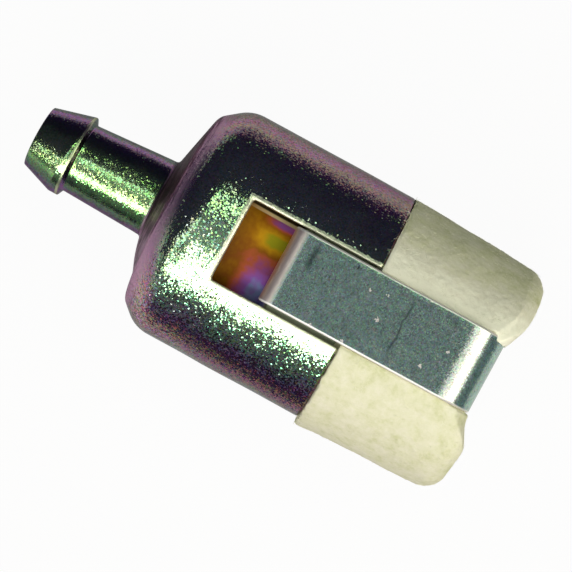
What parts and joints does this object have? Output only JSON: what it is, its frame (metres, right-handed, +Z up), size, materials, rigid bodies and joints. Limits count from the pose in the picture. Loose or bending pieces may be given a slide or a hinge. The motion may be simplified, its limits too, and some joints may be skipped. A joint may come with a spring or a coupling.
{
  "type": "fuel filter",
  "caption": "Weighted in-tank fuel filter: plated steel shell with a barbed hose nipple, and a felt plug held on by a steel strap.",
  "frame": {"origin": "on the floor, under the middle of the filter's length", "axes": "+X from the hose nipple's tip to the felt's end, along the filter's axis; +Z up, square to the strap's faces"},
  "size_m": [0.0388, 0.0192, 0.0186],
  "materials": {
    "zinc_plate": "bright zinc plate, satin",
    "zinc_plate_nipple": "bright zinc plate, turned",
    "chromate_plate": "iridescent chromate over zinc",
    "spring_steel": "satin with fine scratches",
    "wool_felt": "needled wool felt",
    "brass_tube": "drawn",
    "brass_gauze": "woven",
    "brass_cap": "pressed"
  },
  "bodies": {
    "root": {"outer_shell": "zinc_plate", "hose_nipple": "zinc_plate_nipple", "ballast_core": "chromate_plate", "retaining_strap": "spring_steel", "felt_plug": "wool_felt", "support_tube": "brass_tube", "gauze_sleeve": "brass_gauze", "end_cap": "brass_cap"}
  },
  "joints": []
}
